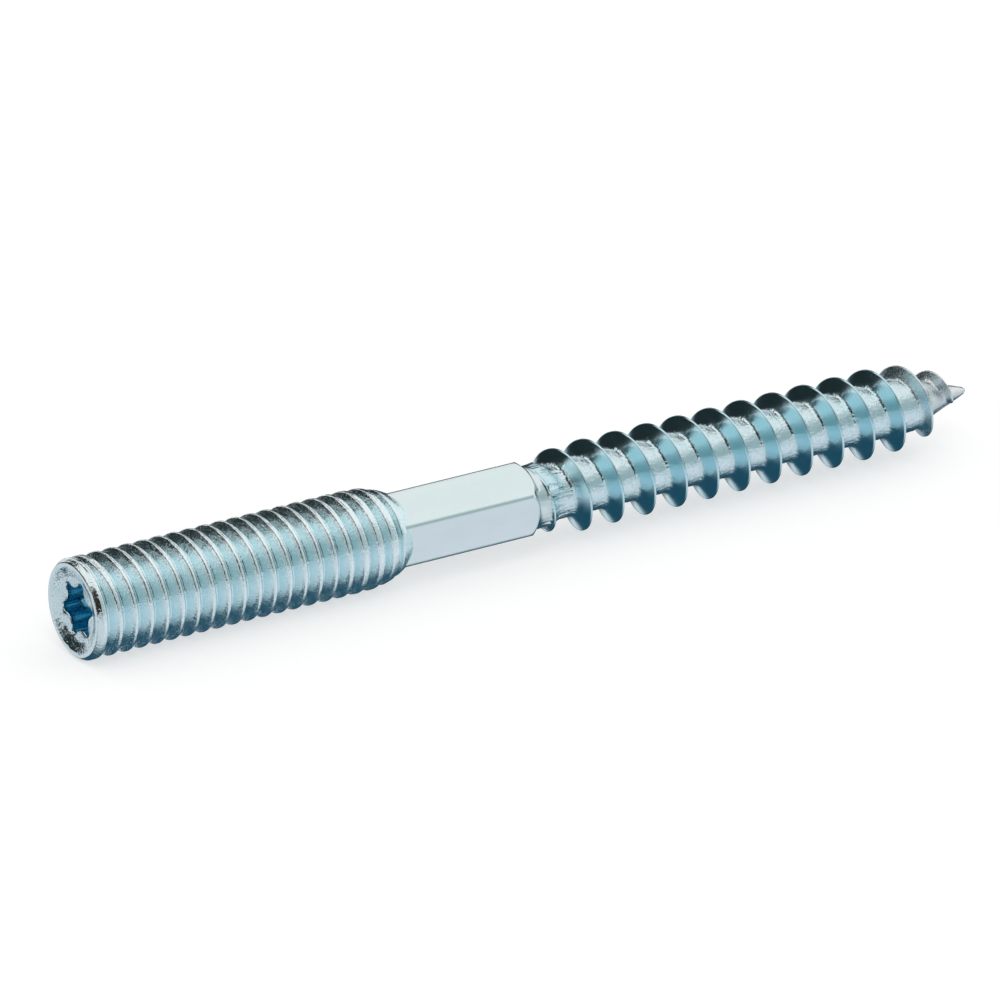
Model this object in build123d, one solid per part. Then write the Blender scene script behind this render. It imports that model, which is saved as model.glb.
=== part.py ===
from build123d import *
import os
from math import cos, floor, pi, radians, sin, sqrt, tan

# Hanger bolt: a metric machine thread with an internal drive at one end, a coarse
# wood thread with a gimlet point at the other and a hexagonal shank between them,
# all one piece of cold-formed steel. The bolt lies on its side. The origin is the
# centre of the drive end and +X runs along the bolt to its point. Sizes are in mm,
# and angles are in degrees about +X, from +Y towards +Z.

# Overall lengths
BOLT_LENGTH = 60.0
MACHINE_END_LENGTH = 20.9
HEXAGON_LENGTH = 8.7

# Machine end, round at the crest diameter of its thread, and its rounded shoulder
MACHINE_CREST_DIAMETER = 5.87
SHOULDER_LENGTH = 2.5
SHOULDER_FOOT_MARGIN = 0.05

# Drive end: the bevel round the rim, the flat rim itself and the dish inside it
BEVEL_LENGTH = 0.3
BEVEL_HEIGHT = 0.215
RIM_WIDTH = 0.17
DISH_DEPTH = 0.3
DISH_FLOOR_MARGIN = 0.1

# Hexalobular recess
RECESS_LOBE_DIAMETER = 3.35
RECESS_FLUTE_DIAMETER = 2.4
RECESS_LOBE_RADIUS = 0.267
RECESS_DEPTH = 2.5
RECESS_FLOOR_ANGLE = 30.0
RECESS_TURN = 46.0

# Hexagonal shank
HEXAGON_ACROSS_FLATS = 4.3
HEXAGON_EDGE_RADIUS = 0.3
HEXAGON_TURN = 33.0
HEXAGON_END_LENGTH = 1.0

# Neck, wood thread and point
NECK_DIAMETER = 3.7
NECK_LENGTH = 1.2
WOOD_CREST_DIAMETER = 5.12
WOOD_ROOT_DIAMETER = 3.2
WOOD_PITCH = 2.15
WOOD_CREST_WIDTH = 0.14
WOOD_FLANK_ANGLE = 27.0
WOOD_THREAD_TURN = 85.0
WOOD_THREAD_START = 0.3
WOOD_RUN_IN_LENGTH = 3.1
WOOD_TAPER_LENGTH = 5.6
WOOD_TAPER_END = 1.0
WOOD_THREAD_END = 1.13
POINT_LENGTH = 4.1
POINT_TIP_DIAMETER = 0.3

# The angle that round faces have their seam at. Drawn with 49 flats, the machine end
# then has a flat straight below the axis, so that its mesh lies still
ROUND_SEAM_TURN = 1.85

# How finely the helices are drawn, the turn at which their faces join, which is clear
# of the seams of the round solids, how far the ridge is sunk into its core, the least
# height it is drawn with, how far it starts below the neck's surface, how far joined
# solids reach into each other, and the step that slopes are taken over, in turns
POINTS_PER_TURN = 16
SEAM_TURN = 0.3
SINK = 0.2
LEAST_HEIGHT = 0.05
START_BELOW_NECK = 0.05
OVERLAP = 1.0
SLOPE_STEP = 1e-4

# Stations along the bolt that follow from the lengths
hexagon_start = MACHINE_END_LENGTH
hexagon_end = hexagon_start + HEXAGON_LENGTH
neck_end = hexagon_end + NECK_LENGTH
point_start = BOLT_LENGTH - POINT_LENGTH

machine_crest_radius = MACHINE_CREST_DIAMETER / 2
rim_radius = machine_crest_radius - BEVEL_HEIGHT
dish_radius = rim_radius - RIM_WIDTH
dish_floor_radius = RECESS_LOBE_DIAMETER / 2 + DISH_FLOOR_MARGIN
shoulder_foot_radius = HEXAGON_ACROSS_FLATS / 2 + SHOULDER_FOOT_MARGIN
hexagon_corner_radius = HEXAGON_ACROSS_FLATS / 2 / cos(pi / 6)
neck_radius = NECK_DIAMETER / 2
wood_crest_radius = WOOD_CREST_DIAMETER / 2
wood_root_radius = WOOD_ROOT_DIAMETER / 2
tip_radius = POINT_TIP_DIAMETER / 2


def on_bolt(station, radius, turn):
    """The point at a station along the bolt, a radius and a turn about +X."""
    angle = 2 * pi * turn
    return Vector(station, radius * cos(angle), radius * sin(angle))


def helix_edge(corner, start, end):
    """A smooth edge through one corner of a thread's section, from turn start to turn end."""
    steps = max(4, round(POINTS_PER_TURN * (end - start)))
    shares = [i / steps for i in range(steps + 1)]
    turns = [start + (end - start) * share for share in shares]
    points = [on_bolt(*corner(turn), turn) for turn in turns]
    slopes = []
    for turn in (start, end):
        after, before = turn + SLOPE_STEP, turn - SLOPE_STEP
        rise = on_bolt(*corner(after), after) - on_bolt(*corner(before), before)
        slopes.append(rise * ((end - start) / (after - before)))
    return Edge.make_spline(points, tangents=slopes, parameters=shares, scale=False)


def helical_bar(start, end, section):
    """A solid that winds along the bolt. section(turn) gives the corners of its
    section in the plane through the axis, each as (station, radius)."""
    corners = range(len(section(start)))
    whole_turns = range(floor(start - SEAM_TURN) + 1, floor(end - SEAM_TURN) + 1)
    breaks = [start, *[turn + SEAM_TURN for turn in whole_turns], end]
    faces = []
    for low, high in zip(breaks, breaks[1:]):
        edges = [helix_edge(lambda turn, i=i: section(turn)[i], low, high) for i in corners]
        for i in corners:
            faces.append(Face.make_surface_from_curves(edges[i - 1], edges[i]))
    for turn in (start, end):
        outline = [on_bolt(station, radius, turn) for station, radius in section(turn)]
        faces.append(Face(Wire.make_polygon(outline, close=True)))
    return Solid(Shell(faces))


def turned(*lines):
    """A solid of revolution about the bolt's axis from an outline of (station, radius)."""
    outline = make_face(Curve() + list(lines))
    return revolve(outline, Axis.X).rotate(Axis.X, ROUND_SEAM_TURN)


def machine_end():
    """The round blank of the machine thread, bevelled at the rim, with a rounded shoulder."""
    shoulder_start = hexagon_start - SHOULDER_LENGTH
    drop = machine_crest_radius - shoulder_foot_radius
    rim = (0, rim_radius)
    crest = (BEVEL_LENGTH, machine_crest_radius)
    top = (shoulder_start, machine_crest_radius)
    foot = (hexagon_start, shoulder_foot_radius)
    round_radius = (SHOULDER_LENGTH**2 + drop**2) / (2 * drop)
    halfway = SHOULDER_LENGTH / 2
    bulge = sqrt(round_radius**2 - halfway**2) - round_radius
    middle = (shoulder_start + halfway, machine_crest_radius + bulge)
    return turned(
        Polyline((0, 0), rim, crest, top),
        ThreePointArc(top, middle, foot),
        Polyline(foot, (hexagon_start, 0), (0, 0)),
    )


def hexagonal_shank():
    """The hexagonal shank, whose faces close in round arcs at the neck."""
    outline = RegularPolygon(HEXAGON_ACROSS_FLATS / 2, 6, major_radius=False)
    outline = fillet(outline.vertices(), HEXAGON_EDGE_RADIUS)
    start = hexagon_start - SHOULDER_LENGTH
    length = hexagon_end - start
    placing = Plane(origin=(start, 0, 0), x_dir=(0, 1, 0), z_dir=(1, 0, 0))
    prism = extrude(placing * Rot(0, 0, HEXAGON_TURN) * outline, length)
    round_start = hexagon_end - HEXAGON_END_LENGTH
    drop = hexagon_corner_radius - neck_radius
    round_radius = (HEXAGON_END_LENGTH**2 + drop**2) / (2 * drop)
    halfway = HEXAGON_END_LENGTH / 2
    bulge = sqrt(round_radius**2 - halfway**2) - round_radius
    top = (round_start, hexagon_corner_radius)
    middle = (round_start + halfway, hexagon_corner_radius + bulge)
    foot = (hexagon_end, neck_radius)
    barrel = turned(
        Polyline((start, 0), (start, hexagon_corner_radius), top),
        ThreePointArc(top, middle, foot),
        Polyline(foot, (hexagon_end, 0), (start, 0)),
    )
    return prism & barrel


def wood_core():
    """The round core of the wood thread: the neck, the root and the pointed end."""
    start = hexagon_end - OVERLAP
    return turned(
        Polyline(
            (start, 0),
            (start, neck_radius),
            (neck_end, neck_radius),
            (neck_end + neck_radius - wood_root_radius, wood_root_radius),
            (point_start, wood_root_radius),
            (BOLT_LENGTH, tip_radius),
            (BOLT_LENGTH, 0),
            (start, 0),
        )
    )


def core_radius(station):
    """The radius of the wood thread's root at a station."""
    along = max(0.0, (station - point_start) / POINT_LENGTH)
    return wood_root_radius + (tip_radius - wood_root_radius) * along


def ridge_radius(station):
    """The radius of the wood thread's crest: it rises from the neck and closes on the point."""
    rise = min(1.0, (station - hexagon_end - WOOD_THREAD_START) / WOOD_RUN_IN_LENGTH)
    lowest = neck_radius - START_BELOW_NECK
    grown = lowest + (wood_crest_radius - lowest) * sin(pi / 2 * rise)
    taper_end = BOLT_LENGTH - WOOD_TAPER_END
    taper = max(0.0, (station - taper_end + WOOD_TAPER_LENGTH) / WOOD_TAPER_LENGTH)
    return min(grown, wood_crest_radius * sqrt(max(0.0, 1 - taper**2)))


def wood_ridge():
    """The helical ridge of the wood thread, sunk a little into the core."""
    slope = tan(radians(WOOD_FLANK_ANGLE))
    lead = WOOD_THREAD_TURN / 360
    first_turn = lead
    origin = hexagon_end + WOOD_THREAD_START - WOOD_PITCH * lead
    last_station = BOLT_LENGTH - WOOD_THREAD_END
    last_turn = (last_station - origin) / WOOD_PITCH

    def section(turn):
        middle = origin + WOOD_PITCH * turn
        foot_radius = core_radius(middle) - SINK
        crest_radius = max(ridge_radius(middle), foot_radius + LEAST_HEIGHT)
        high = WOOD_CREST_WIDTH / 2
        low = high + (crest_radius - foot_radius) * slope
        return [
            (middle - low, foot_radius),
            (middle - high, crest_radius),
            (middle + high, crest_radius),
            (middle + low, foot_radius),
        ]

    return helical_bar(first_turn, last_turn, section)


def dish():
    """The shallow dish that the drive end is left with."""
    return turned(
        Polyline(
            (-OVERLAP, 0),
            (-OVERLAP, dish_radius),
            (0, dish_radius),
            (DISH_DEPTH, dish_floor_radius),
            (DISH_DEPTH, 0),
            (-OVERLAP, 0),
        )
    )


def recess():
    """The six-lobed recess for the driver, with a shallow conical floor."""
    lobe_centre = RECESS_LOBE_DIAMETER / 2 - RECESS_LOBE_RADIUS
    waist = RECESS_FLUTE_DIAMETER / 2
    reach = lobe_centre * cos(pi / 6)
    flute_radius = (RECESS_LOBE_RADIUS**2 - lobe_centre**2 - waist**2 + 2 * waist * reach) / (
        2 * (waist - reach - RECESS_LOBE_RADIUS)
    )
    flute_centre = waist + flute_radius
    arcs = []
    for i in range(6):
        lobe = Vector(1, 0).rotate(Axis.Z, 60 * i)
        before = Vector(1, 0).rotate(Axis.Z, 60 * i - 30)
        after = Vector(1, 0).rotate(Axis.Z, 60 * i + 30)
        meets = [
            lobe * lobe_centre
            + (flute * flute_centre - lobe * lobe_centre).normalized() * RECESS_LOBE_RADIUS
            for flute in (before, after)
        ]
        following = meets[0].rotate(Axis.Z, 60)
        arcs.append(ThreePointArc(meets[0], lobe * RECESS_LOBE_DIAMETER / 2, meets[1]))
        arcs.append(ThreePointArc(meets[1], after * waist, following))
    outline = make_face(Curve() + arcs)
    placing = Plane(origin=(0, 0, 0), x_dir=(0, 1, 0), z_dir=(1, 0, 0))
    prism = extrude(placing * Rot(0, 0, RECESS_TURN) * outline, RECESS_DEPTH + OVERLAP)
    floor_depth = RECESS_LOBE_DIAMETER / 2 * tan(radians(RECESS_FLOOR_ANGLE))
    wall_end = RECESS_DEPTH - floor_depth
    bound = turned(
        Polyline(
            (0, 0),
            (0, RECESS_LOBE_DIAMETER),
            (wall_end, RECESS_LOBE_DIAMETER),
            (wall_end, RECESS_LOBE_DIAMETER / 2),
            (RECESS_DEPTH, 0),
            (0, 0),
        )
    )
    return prism & bound


def hanger_bolt():
    """The whole bolt as one solid."""
    blank = machine_end() + hexagonal_shank() + wood_core()
    return blank + wood_ridge() - dish() - recess()


os.makedirs("parts", exist_ok=True)
bolt = hanger_bolt()
export_step(bolt, "parts/hanger_bolt.step")
print("volume", round(bolt.volume, 3), "solids", len(bolt.solids()), "valid", bolt.is_valid)
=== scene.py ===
"""Dresses the frame of a zinc-plated hanger bolt: its skin, finishes, light and camera.

Sizes on the bolt are in millimetres, and turns about its axis are in degrees from +Y
towards +Z. Places and sizes in the studio are in metres.
"""

from __future__ import annotations

import logging
import math
from dataclasses import dataclass, field
from enum import Enum
from typing import Callable

import bpy
import numpy as np
from mathutils import Matrix, Vector

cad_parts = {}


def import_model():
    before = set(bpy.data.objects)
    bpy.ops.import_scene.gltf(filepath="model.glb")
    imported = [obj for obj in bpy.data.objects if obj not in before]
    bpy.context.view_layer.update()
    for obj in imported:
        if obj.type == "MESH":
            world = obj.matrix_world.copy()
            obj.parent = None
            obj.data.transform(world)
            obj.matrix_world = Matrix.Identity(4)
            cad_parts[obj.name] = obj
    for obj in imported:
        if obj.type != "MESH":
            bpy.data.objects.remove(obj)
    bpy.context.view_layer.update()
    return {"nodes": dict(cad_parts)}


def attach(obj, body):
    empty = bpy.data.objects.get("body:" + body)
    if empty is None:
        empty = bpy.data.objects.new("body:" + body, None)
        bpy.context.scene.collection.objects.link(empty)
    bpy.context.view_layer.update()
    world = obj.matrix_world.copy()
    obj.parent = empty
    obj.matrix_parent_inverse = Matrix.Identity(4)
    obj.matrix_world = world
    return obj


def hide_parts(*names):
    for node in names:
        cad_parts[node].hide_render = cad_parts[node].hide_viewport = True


LOG = logging.getLogger("hanger_bolt")
MM = 0.001
FACES_OF_HEXAGON = 6
COLUMNS_PER_FACE = 24
COLUMNS = COLUMNS_PER_FACE * FACES_OF_HEXAGON
SIXTH = 2.0 * math.pi / FACES_OF_HEXAGON
HEXAGON_TURN = 33.0
BOLT_LENGTH = 60.0
NECK_RADIUS = 1.85
CAD_RADIUS = 2.935
# The crests stay just inside the flats that the CAD part's round end is drawn with.
CREST_RADIUS = 2.929

Pair = tuple[float, float]
Triple = tuple[float, float, float]


class Finish(Enum):
    """The finishes that the bolt's skin shows, in the order of its material slots."""

    RECESS = 0
    DRIVE_FACE = 1
    MACHINE_THREAD = 2
    SHANK = 3
    WOOD_THREAD = 4
    POINT = 5


def smooth_step(share: np.ndarray) -> np.ndarray:
    """Rises smoothly from 0 to 1 as share does."""
    held = np.clip(share, 0.0, 1.0)
    return held * held * (3.0 - 2.0 * held)


def soft_max(first: np.ndarray, second: np.ndarray, fillet: float) -> np.ndarray:
    """The larger of two radii, with a fillet where they cross.

    Args:
        first: One radius at each point.
        second: The other radius at each point.
        fillet: How far apart the radii still blend.

    Returns:
        The blended radius at each point.
    """
    near = np.maximum(fillet - np.abs(first - second), 0.0)
    return np.maximum(first, second) + near * near / (4.0 * fillet)


def put(name: str, data: bpy.types.ID) -> bpy.types.Object:
    """Makes an object and links it to the scene.

    Args:
        name: The object's name.
        data: Its mesh, lamp or camera.

    Returns:
        The object.
    """
    made = bpy.data.objects.new(name, data)
    bpy.context.scene.collection.objects.link(made)
    return made


@dataclass(frozen=True)
class Columns:
    """The angles that every row of the skin has points at.

    The rounding of a hexagon's edge ends edge_reach degrees from the corner.
    """

    edge_reach: float = 4.33
    edge_steps: int = 3

    def angles(self) -> np.ndarray:
        """Spaces the columns, closest together at the hexagon's rounded edges.

        Returns:
            The angle of each column in radians.
        """
        face_angle = 360.0 / FACES_OF_HEXAGON
        edge = np.arange(self.edge_steps + 1) * (self.edge_reach / self.edge_steps)
        flats = COLUMNS_PER_FACE - 2 * self.edge_steps
        flat = np.linspace(self.edge_reach, face_angle - self.edge_reach, flats + 1)[1:]
        face = np.concatenate([edge, flat, face_angle - edge[1:-1][::-1]])
        turns = [face + face_angle * i for i in range(FACES_OF_HEXAGON)]
        return np.radians(HEXAGON_TURN + np.concatenate(turns))


@dataclass(frozen=True)
class Grain:
    """Fine unevenness of a formed surface, as a sum of waves that closes round the bolt."""

    seed: int
    height: float
    longest: float
    shortest: float
    around: tuple[int, int] = (12, 110)
    waves: int = 36

    def at(self, stations: np.ndarray, angles: np.ndarray) -> np.ndarray:
        """The height of the unevenness.

        Args:
            stations: Stations along the bolt.
            angles: Angles about the bolt in radians.

        Returns:
            Heights, about as often above 0 as below.
        """
        draw = np.random.RandomState(self.seed)
        total = np.zeros(np.broadcast(stations, angles).shape)
        for _ in range(self.waves):
            turns = draw.randint(*self.around) * draw.choice([-1, 1])
            length = draw.uniform(self.shortest, self.longest)
            start = draw.uniform(0.0, 2.0 * math.pi)
            total += np.cos(turns * angles + 2.0 * math.pi * stations / length + start)
        return self.height * total / math.sqrt(self.waves / 2.0)


@dataclass(frozen=True)
class Dent:
    """A knock in the surface, which fades out over its reach."""

    station: float
    turn: float
    reach: float
    depth: float

    def press(self, stations: np.ndarray, radii: np.ndarray, angles: np.ndarray) -> np.ndarray:
        """How far the dent pushes points in.

        Args:
            stations: Stations along the bolt.
            radii: The radius at each point.
            angles: Angles about the bolt in radians.

        Returns:
            The depth at each point.
        """
        away = np.angle(np.exp(1j * (angles - math.radians(self.turn))))
        apart = np.hypot(stations - self.station, away * radii)
        return self.depth * np.exp(-((apart / self.reach) ** 2))


@dataclass(frozen=True)
class Ring:
    """The indices and the stations of one ring of the skin's points."""

    points: np.ndarray
    stations: np.ndarray


@dataclass
class Skin:
    """One closed surface, built from rings of points and the faces between them."""

    angles: np.ndarray
    last: Ring | None = None
    points: list[Triple] = field(default_factory=list)
    faces: list[tuple[int, ...]] = field(default_factory=list)
    finishes: list[int] = field(default_factory=list)

    def place(self, station: float, radius: float, angle: float) -> int:
        """Adds one point.

        Args:
            station: Its station along the bolt.
            radius: Its distance from the axis.
            angle: Its angle in radians.

        Returns:
            The point's index.
        """
        across, above = radius * math.cos(angle), radius * math.sin(angle)
        self.points.append((station * MM, across * MM, above * MM))
        return len(self.points) - 1

    def ring(
        self,
        stations: np.ndarray | float,
        radii: np.ndarray | float,
        angles: np.ndarray | None = None,
    ) -> Ring:
        """Adds a ring of points, one in each column.

        Args:
            stations: A station for each column, or one for all.
            radii: A radius for each column, or one for all.
            angles: Angles to use in place of the skin's own.

        Returns:
            The ring.
        """
        turned = self.angles if angles is None else angles
        along = np.broadcast_to(stations, turned.shape)
        out = np.broadcast_to(radii, turned.shape)
        return Ring(np.array([self.place(*p) for p in zip(along, out, turned)]), along)

    def close(self, corners: list[int], finish: Finish) -> None:
        """Adds a face, leaving out corners that fall together.

        Args:
            corners: The indices of the face's corners.
            finish: What the face shows.
        """
        kept = [c for i, c in enumerate(corners) if c != corners[i - 1]]
        if len(kept) > 2 and len(set(kept)) == len(kept):
            self.faces.append(tuple(kept))
            self.finishes.append(finish.value)

    def grow(
        self,
        stations: np.ndarray | float,
        radii: np.ndarray | float,
        finish: Finish,
        angles: np.ndarray | None = None,
    ) -> None:
        """Adds a ring and joins it to the last one.

        Args:
            stations: A station for each column, or one for all.
            radii: A radius for each column, or one for all.
            finish: What the faces between the rings show.
            angles: Angles to use in place of the skin's own.
        """
        ring = self.ring(stations, radii, angles)
        for i in range(COLUMNS):
            j = (i + 1) % COLUMNS
            low, high = self.last.points, ring.points
            self.close([int(low[i]), int(low[j]), int(high[j]), int(high[i])], finish)
        self.last = ring

    def cap(self, station: float, at_end: bool, finish: Finish) -> None:
        """Closes the surface on the axis, from the last ring.

        Args:
            station: Where the axis is met.
            at_end: True at the far end of the outline.
            finish: What the faces show.
        """
        middle = self.place(station, 0.0, 0.0)
        for i in range(COLUMNS):
            pair = [int(self.last.points[i]), int(self.last.points[(i + 1) % COLUMNS])]
            self.close([*(pair if at_end else pair[::-1]), middle], finish)

    def model(self, name: str) -> bpy.types.Object:
        """Makes the surface an object with smooth shading.

        Args:
            name: The object's name.

        Returns:
            The object.
        """
        mesh = bpy.data.meshes.new(name)
        mesh.from_pydata(self.points, [], self.faces)
        mesh.polygons.foreach_set("material_index", self.finishes)
        mesh.polygons.foreach_set("use_smooth", [True] * len(self.faces))
        mesh.update()
        return put(name, mesh)


@dataclass(frozen=True)
class Helix:
    """A thread as rows that wind with it, from the skin's last ring to another.

    A point of a row that comes within snap of either ring falls on the ring's own point.
    """

    origin: float
    pitch: float
    rows: Callable[[np.ndarray], np.ndarray]
    radius: Callable[[np.ndarray, np.ndarray, np.ndarray], np.ndarray]
    finish: Callable[[float], Finish]
    snap: float = 0.03

    def wind(self, skin: Skin, high: Ring) -> None:
        """Adds the thread's surface.

        Args:
            skin: The surface to add to.
            high: The ring where the thread ends.
        """
        low = skin.last
        turns = skin.angles / (2.0 * math.pi)
        # More turns than fit: rows that run past a ring fall together on its points.
        first = math.floor((low.stations.min() - self.origin) / self.pitch) - 2
        last = math.ceil((high.stations.max() - self.origin) / self.pitch) + 1
        lines: list[np.ndarray] = []
        middles: list[float] = []
        for whole in range(first, last + 1):
            crest = self.origin + self.pitch * (whole + turns)
            for away in self.rows(crest):
                lines.append(self.line(skin, low, high, crest + away, away))
                middles.append(float((crest + away).mean()))
        per_turn = len(lines) // (last - first + 1)
        joined = [
            [*line, self.after_turn(lines, n + per_turn, high)] for n, line in enumerate(lines)
        ]
        for below, above, middle in zip(joined, joined[1:], middles):
            shown = self.finish(middle)
            for i in range(COLUMNS):
                corners = [below[i], below[i + 1], above[i + 1], above[i]]
                skin.close([int(c) for c in corners], shown)
        skin.last = high

    def line(
        self, skin: Skin, low: Ring, high: Ring, stations: np.ndarray, away: np.ndarray
    ) -> np.ndarray:
        """Adds one row, which takes a ring's points where it runs past that ring.

        Args:
            skin: The surface to add to.
            low: The ring that the thread starts from.
            high: The ring where it ends.
            stations: The row's station in each column.
            away: Its distance from the crest in each column.

        Returns:
            The indices of the row's points.
        """
        radii = self.radius(stations, away, skin.angles)
        line = np.empty(COLUMNS, int)
        for i, (along, out) in enumerate(zip(stations, radii)):
            if along <= low.stations[i] + self.snap:
                line[i] = low.points[i]
            elif along >= high.stations[i] - self.snap:
                line[i] = high.points[i]
            else:
                line[i] = skin.place(along, out, skin.angles[i])
        return line

    @staticmethod
    def after_turn(lines: list[np.ndarray], row: int, high: Ring) -> int:
        """The first point of a row, or of the last ring where there is no such row."""
        return int(lines[row][0] if row < len(lines) else high.points[0])


@dataclass(frozen=True)
class Hexagon:
    """The hexagonal shank, whose faces close in round arcs at the neck."""

    across_flats: float = 4.3
    edge_radius: float = 0.36
    end: float = 29.6
    end_length: float = 1.0
    end_radius: float = NECK_RADIUS
    waver: Grain = Grain(seed=5, height=0.0022, longest=9.0, shortest=3.0, around=(1, 5))
    waver_ease: float = 0.125
    face_rows: tuple[float, ...] = (
        0.012, 0.04, 0.12, 0.25, 0.4, 0.55, 0.7, 0.83, 0.93, 0.975, 1.0,
    )
    end_rows: tuple[float, ...] = (0.1, 0.3, 0.5, 0.7, 0.85, 1.0)

    def radii(self, angles: np.ndarray) -> np.ndarray:
        """The hexagon's outline.

        Args:
            angles: Angles about the bolt in radians.

        Returns:
            The radius of the flats and rounded edges at each angle.
        """
        half = self.across_flats / 2.0
        from_corner = (angles - math.radians(HEXAGON_TURN)) % SIXTH
        from_corner = np.minimum(from_corner, SIXTH - from_corner)
        from_middle = SIXTH / 2.0 - from_corner
        centre = (half - self.edge_radius) / math.cos(SIXTH / 2.0)
        inside = self.edge_radius**2 - (centre * np.sin(from_corner)) ** 2
        rounded = centre * np.cos(from_corner) + np.sqrt(np.maximum(inside, 0.0))
        flat_half = (half - self.edge_radius) * math.tan(SIXTH / 2.0)
        on_flat = half * np.tan(from_middle) <= flat_half
        return np.where(on_flat, half / np.cos(from_middle), rounded)

    def barrel(self) -> Triple:
        """The arc that the faces' end is turned to.

        Returns:
            The arc's radius, and the station and the radius of its centre.
        """
        corner = self.across_flats / 2.0 / math.cos(SIXTH / 2.0)
        drop = corner - self.end_radius
        arc = (self.end_length**2 + drop**2) / (2.0 * drop)
        return arc, self.end - self.end_length, corner - arc

    def barrel_radius(self, stations: np.ndarray) -> np.ndarray:
        """The turned end's outline.

        Args:
            stations: Stations along the bolt.

        Returns:
            The radius of the turned end at each station.
        """
        arc, start, centre = self.barrel()
        along = np.maximum(stations - start, 0.0)
        return centre + np.sqrt(arc**2 - along**2)

    def barrel_station(self, radii: np.ndarray) -> np.ndarray:
        """Where the turned end has each radius."""
        arc, start, centre = self.barrel()
        return start + np.sqrt(np.maximum(arc**2 - (radii - centre) ** 2, 0.0))

    def build(self, skin: Skin) -> None:
        """Adds the faces and their turned end, from the foot of the shoulder to the neck.

        Args:
            skin: The surface to add to.
        """
        radii = self.radii(skin.angles)
        start = skin.last.stations
        edge = self.barrel_station(radii)
        for share in self.face_rows:
            stations = start + (edge - start) * share
            held = smooth_step(np.array(min(share, 1.0 - share) / self.waver_ease))
            sunk = np.abs(self.waver.at(stations, skin.angles)) * held
            skin.grow(stations, radii - sunk, Finish.SHANK)
        for share in self.end_rows:
            stations = edge + (self.end - edge) * share
            skin.grow(stations, self.barrel_radius(stations), Finish.SHANK)


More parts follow.
